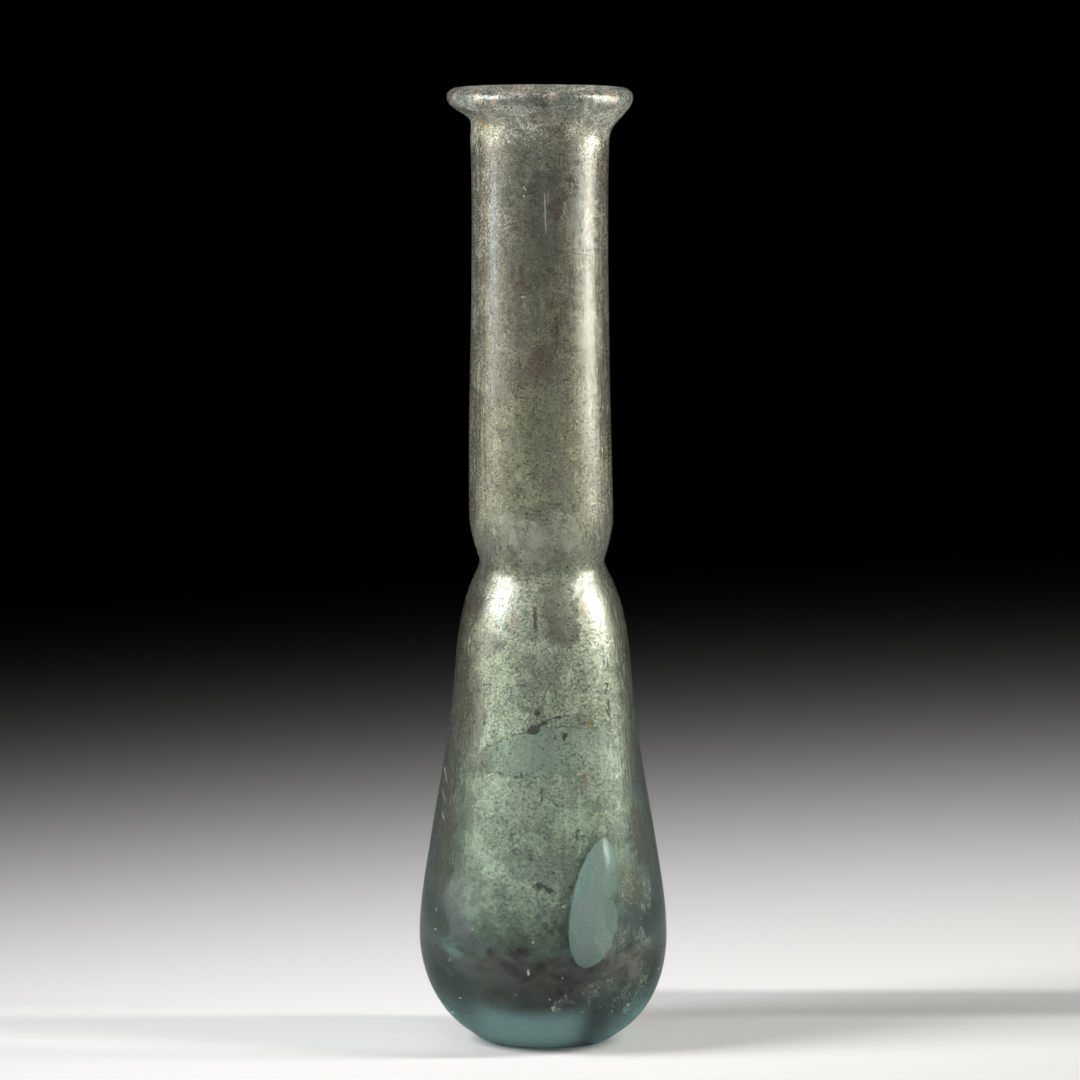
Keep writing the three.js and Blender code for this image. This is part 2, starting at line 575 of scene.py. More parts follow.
# %% What the group gives out
tree.links.new(between(tree, fine, 0.34, 0.66, smooth=False), leave["Grain"])
tree.links.new(between(tree, broad.outputs["Fac"], 0.33, 0.67, smooth=False), leave["Blotch"])
tree.links.new(between(tree, slow, 0.36, 0.64, smooth=False), leave["Drift"])
tree.links.new(between(tree, flakes, 0.485, 0.525), leave["Flakes"])
pits = math(tree, "MAXIMUM", dots(tree, place, 1.1, 0.5, 0.2), dots(tree, place, 2.6, 0.25, 0.40))
tree.links.new(pits, leave["Pits"])
cells = add(tree, "ShaderNodeTexVoronoi", {"Vector": jittered(tree, place, crumbs, 0.6), "Scale": 0.9})
ring = math(tree, "ABSOLUTE", math(tree, "SUBTRACT", cells.outputs["Distance"], 0.34))
tree.links.new(between(tree, ring, 0.10, 0.02), leave["Rings"])
tree.links.new(dots(tree, place, 0.8, 0.72, 0.17), leave["Flecks"])
tree.links.new(veins, leave["Veins"])
tree.links.new(between(tree, streaks, 0.36, 0.64, smooth=False), leave["Streaks"])
tree.links.new(jittered(tree, place, broad, 6.0), leave["Ragged"])
tree.links.new(jittered(tree, place, crumbs, 1.0), leave["Crumbly"])
count_nodes("weathering", weathering)

# %% [markdown]
# ## Marks in their places
#
# Textures repeat everywhere, but this flask has its own stains, cracks and scratches. Each is a
# soft-edged ellipse at a height and an angle, or nearly a line if it is slim. They could be
# painted on by hand; as numbers they stay sharp at any size and are easy to move. Their third
# size, from front to back, is a few millimetres, so a mark doesn't reach the flask's other side.

# %% Group: one mark, a soft-edged ellipse
mark, entry, leave = start_group(
    "mark",
    [
        ("Place", VECTOR, (0, 0, 0)),
        ("Middle", VECTOR, (0, 0, 0)),
        ("Size", VECTOR, (1, 1, 1)),
        ("Tilt", FLOAT, 0.0),
    ],
    [("Mask", FLOAT), ("Rim", FLOAT)],
)
about = {"Vector": entry["Place"], "Center": entry["Middle"], "Angle": entry["Tilt"]}
turned = add(mark, "ShaderNodeVectorRotate", about, rotation_type="Y_AXIS").outputs[0]
offset = add(mark, "ShaderNodeVectorMath", {0: turned, 1: entry["Middle"]}, operation="SUBTRACT").outputs[0]
share = add(mark, "ShaderNodeVectorMath", {0: offset, 1: entry["Size"]}, operation="DIVIDE").outputs[0]
reach = add(mark, "ShaderNodeVectorMath", {0: share}, operation="LENGTH").outputs["Value"]
mark.links.new(between(mark, reach, 1.15, 0.85), leave["Mask"])
rim = math(mark, "ABSOLUTE", math(mark, "SUBTRACT", reach, 1.0))
mark.links.new(between(mark, rim, 0.05, 0.0), leave["Rim"])
count_nodes("mark", mark)


# %% Placing marks on the inside or the outside
mark_reach = 4.0


def on_skin(points, degrees, z):
    """The point at a height and an angle on an outline, in millimetres."""
    radius = np.interp(z, points[:, 1], points[:, 0])
    angle = np.array([[np.radians(degrees)]])
    return by_hand(angle, np.array([[radius, z]]))[0, 0] / MM


def marks(tree, place, points, rows):
    """The strongest of several marks. Rows are (height, degrees, half-width, half-height, tilt)."""
    total = None
    for z, degrees, wide, tall, tilt in rows:
        middle = on_skin(points, degrees, z)
        size = (wide, mark_reach, tall)
        spot = use_group(tree, mark, Place=place, Middle=middle, Size=size, Tilt=np.radians(tilt))
        total = spot["Mask"] if total is None else math(tree, "MAXIMUM", total, spot["Mask"])
    return total


outer_skin = outside[outside[:, 0] > 1]
inner_skin = inside[::-1]
print("half-way up, the front of the hollow is at", on_skin(inner_skin, 0, height / 2).round(1))


# %% Helpers for the finishes
def height_share(tree, place, unevenness, amount):
    """The height from 0 at the foot to 1 at the lip, shifted up and down by an unevenness."""
    z = add(tree, "ShaderNodeSeparateXYZ", {0: place}).outputs["Z"]
    shift = math(tree, "MULTIPLY", math(tree, "SUBTRACT", unevenness, 0.5), amount)
    return math(tree, "DIVIDE", math(tree, "ADD", z, shift), height)


def shaded(tree, colour, *factors):
    """A colour multiplied by grey factors."""
    product = factors[0]
    for factor in factors[1:]:
        product = math(tree, "MULTIPLY", product, factor)
    grey = add(tree, "ShaderNodeCombineColor", {0: product, 1: product, 2: product}).outputs[0]
    return blend_colours(tree, 1.0, colour, grey, "MULTIPLY")


def principled(tree, out, **inputs):
    """The Principled shader on a material's surface, its sockets named with _ for spaces."""
    shader = add(tree, "ShaderNodeBsdfPrincipled", {k.replace("_", " "): v for k, v in inputs.items()})
    tree.links.new(shader.outputs[0], out.inputs["Surface"])
    return shader


def bump(tree, strength, depth, relief):
    """A bump: the normal leans as if the relief were that many millimetres deep."""
    values = {"Strength": strength, "Distance": depth * MM, "Height": relief}
    return add(tree, "ShaderNodeBump", values).outputs["Normal"]


print("node groups:", [group.name for group in bpy.data.node_groups])

# %% [markdown]
# ## The glass itself
#
# Iron in the sand makes Roman glass bluish green. The colour isn't on the surface: it is weak in
# the thin neck and strong through the heavy bottom. So the surface is nearly colourless clear glass
# with plain values on the shader, and the tint is an absorption in its volume, which deepens with
# the way that light travels. Burial left the surface a little rough and uneven, which softens its
# highlights.

# %% The glass itself
GLASS_TINT = (0.26, 0.58, 0.58, 1)
GLASS_DEPTH = 68


def glass_finish(name, roughness, unevenness):
    """See-through glass with its tint in its depth, and a faintly uneven surface."""
    tree, out, place = start_material(name)
    skin = use_group(tree, weathering, Place=place, Fine=0.3, Stretch=0.4)
    relief = math(tree, "ADD", skin["Grain"], skin["Streaks"])
    normal = bump(tree, unevenness, 0.03, relief)
    principled(
        tree,
        out,
        Base_Color=(0.95, 0.98, 0.97, 1),
        Transmission_Weight=1.0,
        IOR=1.5,
        Roughness=roughness,
        Normal=normal,
    )
    tint = add(tree, "ShaderNodeVolumeAbsorption", {"Color": GLASS_TINT, "Density": GLASS_DEPTH})
    tree.links.new(tint.outputs[0], out.inputs["Volume"])


glass_finish("weathered glass", 0.045, 0.5)
glass_finish("bubble skin", 0.03, 0.0)
print("glass finishes:", glass.name, "and", bubble_skin.name)

# %% [markdown]
# ## The film inside
#
# The film is pale and greenish low in the body, cream at the shoulder and dark brown up the neck.
# A colour ramp over the height gives these zones, and noise shifts the height up and down, so that
# the zones have no straight borders. Grain, blotches and flakes then vary the tone, and the marks
# follow: stains and cracks, with some painted shade and painted highlights among them. The film
# is partly metallic, because decayed layers shimmer.

# %% The film's zones
tree, out, place = start_material("inner film", film)
skin = use_group(tree, weathering, Place=place, Fine=0.24, Stretch=0.55)
level = height_share(tree, place, skin["Blotch"], 5.0)
zones = ramp(tree, level, [
    (0.10, (0.64, 0.78, 0.52)),
    (0.16, (0.90, 1.0, 0.72)),
    (0.32, (0.90, 1.0, 0.71)),
    (0.45, (0.92, 0.92, 0.64)),
    (0.54, (0.95, 0.90, 0.62)),
    (0.62, (0.74, 0.68, 0.40)),
    (0.72, (0.36, 0.32, 0.165)),
    (0.90, (0.075, 0.07, 0.035)),
    (0.96, (0.50, 0.46, 0.34)),
])
warm = math(tree, "MULTIPLY", skin["Drift"], 0.35)
colour = blend_colours(tree, warm, zones, (0.36, 0.29, 0.22))
grain = between(tree, skin["Grain"], 0.0, 1.0, 0.35, 1.5, smooth=False)
patches = between(tree, skin["Blotch"], 0.0, 1.0, 0.65, 1.3, smooth=False)
flakes = between(tree, skin["Flakes"], 0.0, 1.0, 0.8, 1.15, smooth=False)
colour = shaded(tree, colour, grain, patches, flakes)
count_nodes("inner film", tree)

# %% The pale flake, painted shade and painted highlights
flake = use_group(
    tree,
    mark,
    Place=skin["Crumbly"],
    Middle=on_skin(inner_skin, 2, 37.8),
    Size=(8.2, 9, 2.9),
    Tilt=np.radians(9),
)
colour = blend_colours(tree, math(tree, "MULTIPLY", flake["Mask"], 0.7), colour, (0.56, 0.68, 0.53))
# Painted shade: darker places on the shoulder between the side lamps' highlights, and down the middle of the
# neck, which the side lamps leave in shade.
shade = marks(tree, skin["Ragged"], inner_skin, [
    (54.8, 17, 2.4, 4.4, 0),
    (58.0, 8, 1.6, 0.9, 0),
    (104.0, 12, 1.5, 6.0, 0),
])
colour = blend_colours(tree, math(tree, "MULTIPLY", shade, 0.72), colour, (0.13, 0.13, 0.085))
torn = math(tree, "MULTIPLY", flake["Rim"], between(tree, skin["Blotch"], 0.45, 0.75))
colour = blend_colours(tree, torn, colour, (0.05, 0.05, 0.035))
# Partly paler film and partly a painted highlight: two bright patches on the body, where a lamp's gloss
# would brighten it.
paler_film_and_highlight = marks(tree, skin["Ragged"], inner_skin, [(35.5, 38, 2.6, 3.6, 0), (31.0, -12, 2.6, 2.2, 0)])
paler_film_and_highlight = math(tree, "MULTIPLY", paler_film_and_highlight, between(tree, skin["Grain"], 0.1, 0.7))
colour = blend_colours(tree, math(tree, "MULTIPLY", paler_film_and_highlight, 0.8), colour, (1.0, 1.0, 0.78))
count_nodes("inner film", tree)

# %% Tan and brown stains
tan = marks(tree, skin["Crumbly"], inner_skin, [
    (54.1, -25, 0.5, 1.3, 0),
    (55.4, 38, 0.7, 1.1, 0),
    (41.1, 34, 0.35, 0.7, 0),
    (38.8, 66, 0.3, 0.7, 0),
    (34.3, 27, 0.35, 0.8, 25),
    (116.4, -64, 0.35, 1.3, 40),
])
colour = blend_colours(tree, math(tree, "MULTIPLY", tan, 0.6), colour, (0.58, 0.38, 0.18))
brown = marks(tree, skin["Ragged"], inner_skin, [
    (51.0, -44, 1.5, 1.2, 0),
    (55.5, -68, 0.8, 1.3, 0),
    (35.8, -44, 1.9, 1.6, 0),
    (42.0, -52, 1.2, 4.6, -4),
    (30.0, -48, 0.9, 3.0, -4),
    (43.2, -8, 1.2, 0.5, 0),
    (64.5, -30, 1.2, 2.6, 0),
    (86.0, 0, 1.3, 2.4, 0),
    (97.0, -23, 0.8, 1.2, 0),
])
brown = math(tree, "MULTIPLY", brown, between(tree, skin["Grain"], 0.2, 0.7))
colour = blend_colours(tree, math(tree, "MULTIPLY", brown, 0.7), colour, (0.20, 0.12, 0.085))
count_nodes("inner film", tree)

# %% Cracks, pits and veins
dark = marks(tree, skin["Crumbly"], inner_skin, [
    (54.4, -6, 0.24, 1.5, 0),
    (40.6, -6, 0.8, 0.6, 20),
    (41.3, -1, 0.9, 0.2, 28),
    (42.1, 9, 1.5, 0.14, 10),
    (42.6, -4, 0.35, 0.3, 0),
    (39.7, 14, 0.3, 0.5, 0),
    (38.2, 10.5, 0.15, 0.15, 0),
    (42.7, 51, 0.2, 1.3, 2),
    (45.5, 50, 0.12, 1.0, -6),
    (97.7, 9, 0.7, 0.3, 0),
    (97.0, 14, 0.25, 0.2, 0),
    (90.2, 15, 0.26, 1.6, 0),
    (88.0, 14, 0.2, 0.9, 0),
    (84.0, 24, 0.5, 0.16, 0),
    (79.1, -2, 0.18, 0.18, 0),
    (68.7, 8.5, 0.2, 0.18, 0),
    (68.6, 15, 0.55, 0.16, 8),
    (65.6, 15, 0.5, 0.16, 8),
    (66.8, 20, 0.25, 0.16, 0),
    (34.9, -14, 0.12, 0.5, 0),
    (32.4, -1, 0.1, 1.1, 0),
    (27.5, 21, 0.13, 0.7, 0),
    (27.1, 24, 0.13, 0.4, 0),
    (21.3, -2, 0.5, 0.4, -20),
    (20.7, 3, 0.7, 0.35, -25),
])
low_rings = math(tree, "MULTIPLY", skin["Rings"], between(tree, level, 0.22, 0.12))
for pattern, strength in ((skin["Pits"], 0.72), (skin["Veins"], 0.9), (low_rings, 0.7)):
    dark = math(tree, "MAXIMUM", dark, math(tree, "MULTIPLY", pattern, strength))
colour = blend_colours(tree, math(tree, "MULTIPLY", dark, 0.9), colour, (0.015, 0.015, 0.01))
count_nodes("inner film", tree)

# %% The film's shader
relief = math(tree, "SUBTRACT", math(tree, "ADD", skin["Grain"], skin["Flakes"]), dark)
normal = bump(tree, 0.9, 0.08, relief)
principled(tree, out, Base_Color=colour, Metallic=0.35, Roughness=0.42, Normal=normal)
count_nodes("inner film", tree)

# %% [markdown]
# ## The dried mud
#
# Soil that washed in has dried on the hollow's floor and fades out up the wall in an uneven edge.
# It touches the glass, so it is a skin inside the wall and its colour shows from every side. Its
# edge could be cut in the mesh; an alpha mask from height and noise is crumblier and simpler.

# %% The dried mud
mud_full, mud_end = 11.2, 14.0
tree, out, place = start_material("dried mud", sediment)
skin = use_group(tree, weathering, Place=place, Fine=0.3, Stretch=1.0)
level = height_share(tree, place, skin["Blotch"], 3.5)
edge = between(tree, level, mud_end / height, mud_full / height)
edge = math(tree, "ADD", edge, math(tree, "MULTIPLY", skin["Grain"], 0.3))
edge = between(tree, edge, 0.45, 0.95)
tone = math(tree, "MULTIPLY", between(tree, skin["Grain"], 0.0, 1.0, 0.6, 1.4, smooth=False), skin["Blotch"])
colour = shaded(tree, (0.54, 0.38, 0.33), tone)
principled(tree, out, Base_Color=colour, Roughness=0.8, Specular_IOR_Level=0.1, Alpha=edge)
count_nodes("dried mud", tree)

# %% [markdown]
# ## The crust in the bubble
#
# Inside the bubble the glass has decayed to a fine pale crust. It is plainer than the film: one
# pale green, a little grain, and two paler patches.

# %% The crust in the bubble
tree, out, place = start_material("bubble crust", lining_of_bubble)
skin = use_group(tree, weathering, Place=place, Fine=0.3, Stretch=0.5)
pale = marks(tree, skin["Ragged"], outer_skin, [(18.6, 22, 1.4, 2.2, 0), (24.0, 30, 0.8, 2.0, 0)])
tone = between(tree, skin["Grain"], 0.0, 1.0, 0.88, 1.1, smooth=False)
colour = shaded(tree, (0.80, 0.99, 0.90), tone)
colour = blend_colours(tree, math(tree, "MULTIPLY", pale, 0.6), colour, (0.90, 1.0, 0.97))
principled(tree, out, Base_Color=colour, Roughness=0.5)
count_nodes("bubble crust", tree)

# %% [markdown]
# ## The haze outside
#
# The outside has gone dull: a grey veil, thick and pale under the lip, lighter on the neck and
# nearly gone low on the body, with soil, pits, scratches and white flecks on it. Painted light is
# laid on it too: a highlight streak on the neck, glints at the left edge, a paler veil on the
# flare's underside and a paler veil at the foot over the floor's shadow seen through the bottom. It
# could be mixed into the glass shader, but a separate skin with an alpha mask keeps the glass plain
# and clear. The mask is called cover: it starts from the height, and each coat of dirt or painted
# light raises it in its place.
# Layer Weight makes the veil thickest at a middle slant and thinner at the very rim, where the
# glass is nearly all reflection.

# %% How much the haze covers
tree, out, place = start_material("outer haze", haze)
skin = use_group(tree, weathering, Place=place, Fine=0.17, Stretch=0.7)
level = height_share(tree, place, skin["Blotch"], 2.0)
# The cover is highest just under the lip and raised at the foot: partly the veil, partly painted light on
# the flare's underside and over the floor's shadow seen through the bottom.
cover = ramp(tree, level, [
    (0.0, 0.19),
    (0.14, 0.14),
    (0.3, 0.11),
    (0.47, 0.13),
    (0.53, 0.34),
    (0.935, 0.40),
    (0.96, 0.92),
    (0.97, 0.85),
])
facing = add(tree, "ShaderNodeLayerWeight", {"Blend": 0.5}).outputs["Facing"]
slant = ramp(tree, facing, [(0.0, 0.42), (0.3, 1.0), (0.55, 0.85), (1.0, 0.3)])
grain = between(tree, skin["Grain"], 0.0, 1.0, 0.2, 1.8, smooth=False)
drawn = between(tree, skin["Streaks"], 0.0, 1.0, 0.75, 1.25, smooth=False)
patches = between(tree, skin["Blotch"], 0.0, 1.0, 0.65, 1.35, smooth=False)
for factor in (slant, grain, drawn, patches):
    cover = math(tree, "MULTIPLY", cover, factor, clamp=True)
count_nodes("outer haze", tree)

# %% Clouds, soil, mist, a painted highlight streak and stains
cloud = marks(tree, skin["Ragged"], outer_skin, [
    (14.0, 38, 3.0, 3.0, 0),
    (11.0, 52, 2.2, 5.5, -8),
    (8.5, 36, 4.5, 1.8, 20),
    (7.0, 12, 2.6, 1.0, 25),
    (5.8, 50, 1.0, 0.8, 0),
    (19.0, 58, 1.0, 3.0, 0),
])
speckle = between(tree, skin["Grain"], 0.4, 0.62)
speckle = math(tree, "MULTIPLY", speckle, between(tree, skin["Blotch"], 0.1, 0.6))
cloud = math(tree, "MULTIPLY", cloud, speckle)
soil = marks(tree, skin["Ragged"], outer_skin, [
    (25.0, -60, 1.3, 7.0, -6),
    (33.0, -66, 0.9, 6.0, -6),
    (20.5, 47, 2.0, 3.2, 0),
    (27.0, 58, 1.2, 4.0, 0),
    (44.0, -62, 1.3, 6.0, -4),
    (56.0, -62, 1.0, 2.0, 0),
])
soil = math(tree, "MULTIPLY", soil, between(tree, skin["Grain"], 0.1, 0.6))
mist_and_highlight_streak = marks(tree, skin["Ragged"], outer_skin, [(19.0, -43, 2.4, 4.2, 0)])
# The long slim streak down the left of the neck is a painted highlight; the patch low on the body is mist.
mist_and_highlight_streak = math(tree, "MAXIMUM", mist_and_highlight_streak, marks(tree, place, outer_skin, [(97.0, -41, 0.5, 15.0, 0)]))
chin = marks(tree, skin["Ragged"], outer_skin, [
    (64.6, 0, 4.6, 2.5, 0),
    (65.6, -22, 2.2, 2.4, 0),
    (65.6, 22, 2.2, 2.4, 0),
])
chin = math(tree, "MULTIPLY", chin, between(tree, skin["Blotch"], 0.0, 1.0, 0.5, 1.2, smooth=False))
stain = marks(tree, skin["Ragged"], outer_skin, [
    (105.5, 17, 0.8, 2.0, 0),
    (95.5, -14, 0.8, 1.0, 0),
    (86.0, -3, 1.2, 2.4, 0),
])
stain = math(tree, "MULTIPLY", stain, between(tree, skin["Grain"], 0.1, 0.7))
count_nodes("outer haze", tree)

# %% Scratches and painted glints
scratches_and_glints = marks(tree, place, outer_skin, [
    (104.9, 4.5, 0.11, 2.8, 2),
    (106.9, 7, 0.05, 0.9, 0),
    (103.0, -28, 0.9, 0.06, 20),
    (104.4, -27, 0.6, 0.05, -25),
    (64.9, 5, 0.9, 0.10, -40),
    (64.8, 0, 0.9, 0.09, 35),
    (64.3, -4, 0.8, 0.08, 8),
    (65.3, -1, 0.6, 0.08, -60),
    (64.4, 9, 0.7, 0.08, -20),
    (71.5, 19, 0.5, 0.06, -50),
    (62.6, -12, 0.07, 1.6, 20),
    (61.6, 9, 0.06, 1.2, 8),
    (58.2, 20, 0.1, 0.5, 20),
    # Painted glints: three short white strokes along the left edge of the body stand for glints of light
    # there.
    (34.2, -74, 0.08, 0.9, 12),
    (31.6, -71, 0.07, 0.8, 20),
    (29.2, -67, 0.07, 0.7, 14),
])
count_nodes("outer haze", tree)

# %% Rust, creases and holes
rust_places = [(116.0, -55, 0.3, 1.2, 40), (118.6, -30, 0.5, 0.2, 0)]
rust = marks(tree, skin["Crumbly"], outer_skin, rust_places)
creases = marks(tree, skin["Crumbly"], outer_skin, [
    (60.3, -16, 1.3, 0.07, 4),
    (59.8, -1, 1.1, 0.07, -4),
    (59.6, 20, 0.8, 0.08, 22),
    (58.7, 24, 0.10, 0.6, 16),
    (118.3, 2, 0.45, 0.2, 0),
    (117.5, -62, 1.6, 0.1, -12),
])
holes = marks(tree, place, outer_skin, [
    (98.0, 9, 0.42, 0.17, -12),
    (97.3, 13, 0.2, 0.14, 0),
    (90.3, 14.5, 0.2, 1.1, 3),
    (88.6, 14, 0.14, 0.6, 8),
    (79.1, 0, 0.13, 0.13, 0),
    (68.8, 8, 0.13, 0.12, 0),
    (68.7, 14, 0.5, 0.11, 8),
    (66.1, 15, 0.5, 0.12, 12),
    (66.9, 20, 0.2, 0.12, 0),
])
creases = math(tree, "MAXIMUM", creases, holes)
count_nodes("outer haze", tree)

# %% White flecks
white = marks(tree, skin["Crumbly"], outer_skin, [
    (118.1, 14, 0.6, 0.06, 0),
    (118.1, 22, 0.5, 0.06, 0),
    (118.1, 30, 0.5, 0.06, 0),
    (107.9, -14, 0.15, 0.2, 0),
    (107.7, -12.5, 0.08, 0.08, 0),
    (107.0, -14, 0.07, 0.18, 0),
    (94.4, -14, 0.16, 0.15, 0),
    (11.0, -7, 0.15, 0.36, 0),
    (7.9, -14, 0.13, 0.1, 0),
    (7.5, 2.5, 0.18, 0.12, 30),
    (6.2, 5, 0.1, 0.45, -20),
    (11.4, 10.5, 0.12, 0.08, 0),
    (5.8, 50, 0.22, 0.3, 0),
    (17.7, -61, 0.08, 0.32, 0),
    (15.3, -60, 0.08, 0.11, 0),
    (11.7, -49, 0.08, 0.2, 0),
    (6.7, -48, 0.1, 0.12, 0),
    (4.2, -50, 0.1, 0.15, 0),
    (4.2, -66, 0.1, 0.14, 0),
    (9.7, 73, 0.08, 0.12, 0),
    (5.3, 39, 0.1, 0.1, 0),
])
flecks = math(tree, "MULTIPLY", skin["Flecks"], between(tree, level, 0.12, 0.25, 0.9, 0.5))
white = math(tree, "MAXIMUM", white, flecks)
pepper_places = [(111.2, -2, 2.4, 1.7, 0), (103.0, -30, 1.2, 2.5, 0)]
pepper = marks(tree, skin["Ragged"], outer_skin, pepper_places)
pepper = math(tree, "MULTIPLY", pepper, between(tree, skin["Grain"], 0.66, 0.8, 0.0, 0.6))
white = math(tree, "MAXIMUM", white, pepper)
white = math(tree, "MULTIPLY", white, 0.8)
# The scratches and the painted glints go into white at half strength.
white = math(tree, "MAXIMUM", white, math(tree, "MULTIPLY", scratches_and_glints, 0.5))
count_nodes("outer haze", tree)

# %% The coats of dirt and painted light: mask, strength and colour, from the lowest to the topmost
pits = math(tree, "MULTIPLY", skin["Pits"], between(tree, level, 0.30, 0.52, 0.15, 0.85))
pits = math(tree, "MAXIMUM", pits, math(tree, "MULTIPLY", creases, 0.75))
coats = (
    (chin, 0.45, (0.62, 0.62, 0.49)),
    (mist_and_highlight_streak, 0.16, (0.44, 0.48, 0.46)),
    (stain, 0.3, (0.25, 0.16, 0.11)),
    (cloud, 0.46, (0.45, 0.51, 0.43)),
    (soil, 0.7, (0.070, 0.064, 0.042)),
    (rust, 0.6, (0.62, 0.44, 0.25)),
    (pits, 1.0, (0.02, 0.02, 0.015)),
    (white, 1.0, (0.72, 0.74, 0.64)),
)
for coat, strength, _ in coats:
    cover = math(tree, "MAXIMUM", cover, math(tree, "MULTIPLY", coat, strength))
count_nodes("outer haze", tree)

# %% The haze's own colour, by height
# The tone is near white just under the lip and paler at the foot: partly the veil's colour, partly painted
# light on the flare's underside, which faces down, and over the floor's shadow seen through the bottom.
tone = ramp(tree, level, [
    (0.0, (0.26, 0.33, 0.30)),
    (0.2, (0.20, 0.26, 0.21)),
    (0.45, (0.42, 0.43, 0.32)),
    (0.6, (0.47, 0.46, 0.35)),
    (0.94, (0.49, 0.48, 0.38)),
    (0.958, (0.74, 0.75, 0.60)),
    (0.978, (0.84, 0.85, 0.72)),
    (0.988, (0.52, 0.54, 0.46)),
    (0.994, (0.46, 0.41, 0.34)),
])
tone = blend_colours(tree, math(tree, "MULTIPLY", skin["Flakes"], 0.5), tone, (0.22, 0.19, 0.13))
colour = shaded(tree, tone, between(tree, skin["Grain"], 0.0, 1.0, 0.4, 1.5, smooth=False))
lip = math(tree, "MULTIPLY", between(tree, level, 0.975, 0.988), between(tree, skin["Blotch"], 0.75, 0.25))
colour = blend_colours(tree, math(tree, "MULTIPLY", lip, 0.7), colour, (0.13, 0.18, 0.155))
for coat, _, coat_colour in coats:
    colour = blend_colours(tree, coat, colour, coat_colour)
count_nodes("outer haze", tree)

# %% The haze's shader
normal = bump(tree, 0.25, 0.03, skin["Grain"])
principled(tree, out, Base_Color=colour, Metallic=0.3, Roughness=0.36, Alpha=cover, Normal=normal)
count_nodes("outer haze", tree)

# %% [markdown]
# ## The studio floor
#
# The flask stands on pale paper in a pool of light that fades away from it. A real studio fades
# light with flags and grids. Here the pool of light is painted: the paper itself gets darker
# outwards, as exp(-(x^2 + y^2 - xy) / r^2), which is steadier than many small lamps. The paper
# also carries a painted lane of light and a painted shadow: it is a little paler along a lane left
# of the foot, which lightens a lamp's shadow there, and a little darker in a band behind the foot
# on the right.


# %% A disc of rings
FLOOR_REACH = 6.0
FLOOR_DROP = 1e-4
turn = np.linspace(0, 2 * np.pi, 96, endpoint=False)[None, :]


def disc(rings, drop):
    """Rings of some radii on a level below the foot: (r cos a, r sin a, -drop), in metres."""
    return np.stack([rings * np.cos(turn), rings * np.sin(turn), 0 * rings * turn - drop], axis=-1)


floor_grid = disc(np.geomspace(0.004, FLOOR_REACH, 16)[:, None], FLOOR_DROP)
floor = surface("floor", floor_grid, start_pole=(0, 0, -FLOOR_DROP))

# %% The paper with its painted pool of light, painted lane of light and painted shadow
POOL_RADIUS = 210.0
PAPER = 0.63
PAINTED_LIGHT_GAIN = 0.27
PAINTED_SHADOW_LOSS = 0.32
tree, out, place = start_material("studio paper", floor)
squared = add(tree, "ShaderNodeVectorMath", {0: place, 1: place}, operation="DOT_PRODUCT").outputs["Value"]
spot = add(tree, "ShaderNodeSeparateXYZ", {0: place}).outputs
slope = math(tree, "MULTIPLY", spot["X"], spot["Y"])
pool = math(tree, "SUBTRACT", squared, slope)
light_left = math(tree, "POWER", 2.71828, math(tree, "DIVIDE", pool, -(POOL_RADIUS**2)))
# Painted light: a paler lane left of the foot lightens a lamp's shadow on the paper there.
aside = math(tree, "ADD", spot["Y"], math(tree, "MULTIPLY", spot["X"], 0.12))
painted_light_lane = between(tree, math(tree, "ABSOLUTE", math(tree, "SUBTRACT", aside, 1.0)), 20.0, 9.0)
painted_light_lane = math(tree, "MULTIPLY", painted_light_lane, between(tree, spot["X"], -4.0, -18.0, 0.0, PAINTED_LIGHT_GAIN))
# The hollow is a painted shadow: a darker band on the paper behind the foot on the right.
hollow = math(tree, "MULTIPLY", between(tree, spot["Y"], 14.0, 22.0), between(tree, spot["Y"], 41.0, 34.0))
hollow = math(tree, "MULTIPLY", hollow, between(tree, spot["X"], 0.0, 12.0, 0.0, PAINTED_SHADOW_LOSS))
evened = math(tree, "SUBTRACT", math(tree, "ADD", painted_light_lane, 1.0), hollow)
light_left = math(tree, "MULTIPLY", light_left, math(tree, "MULTIPLY", evened, PAPER))
shade = blend_colours(tree, light_left, (0.0, 0.0, 0.0), (1.0, 1.0, 1.0))
principled(tree, out, Base_Color=shade, Roughness=0.9, Specular_IOR_Level=0.0)
count_nodes("studio paper", tree)

# %% [markdown]
# ## A dark sheet that only the glass sees
#
# Glass has hardly a colour of its own: it shows what stands around it. On a bright floor the heavy
# bottom would glow like a lamp, so in a studio black card is laid round it, out of view. This sheet
# does the same: only reflections and light through the glass meet it, as it is hidden from direct
# view, casts no shadow and sends no light onto other things.

# %% The dark sheet
SHEET_DROP = 5e-5
SHEET_UNIT = 300.0
sheet = surface("dark sheet", disc(np.array([0.0005, 0.05, 0.2, 0.5])[:, None], SHEET_DROP))
sheet.visible_camera = False
sheet.visible_shadow = False
sheet.visible_diffuse = False
tree, out, place = start_material("dark sheet", sheet)
reach = add(tree, "ShaderNodeVectorMath", {0: place}, operation="LENGTH").outputs["Value"]
sheet_greys = [(0.05, 0.20), (0.2, 0.22), (0.4, 0.22), (0.7, 0.09)]
shade = ramp(tree, math(tree, "DIVIDE", reach, SHEET_UNIT), sheet_greys)
principled(tree, out, Base_Color=shade, Roughness=1.0, Specular_IOR_Level=0.0)
count_nodes("dark sheet", tree)

# %% [markdown]
# ## The light
#
# Each lamp is seen in the glass as a highlight of its own shape, so the boxes are as tall and as
# narrow as the highlights should be. A box stands on each side, well up, and a weak wide one glows
# from behind through the body. Two small strips only put gloss on the neck. A snoot, a lamp in a
# tube, lights the lip from low in front. The room is dark but for a soft grey light from the front.

# %% The room
from mathutils import Quaternion, Vector

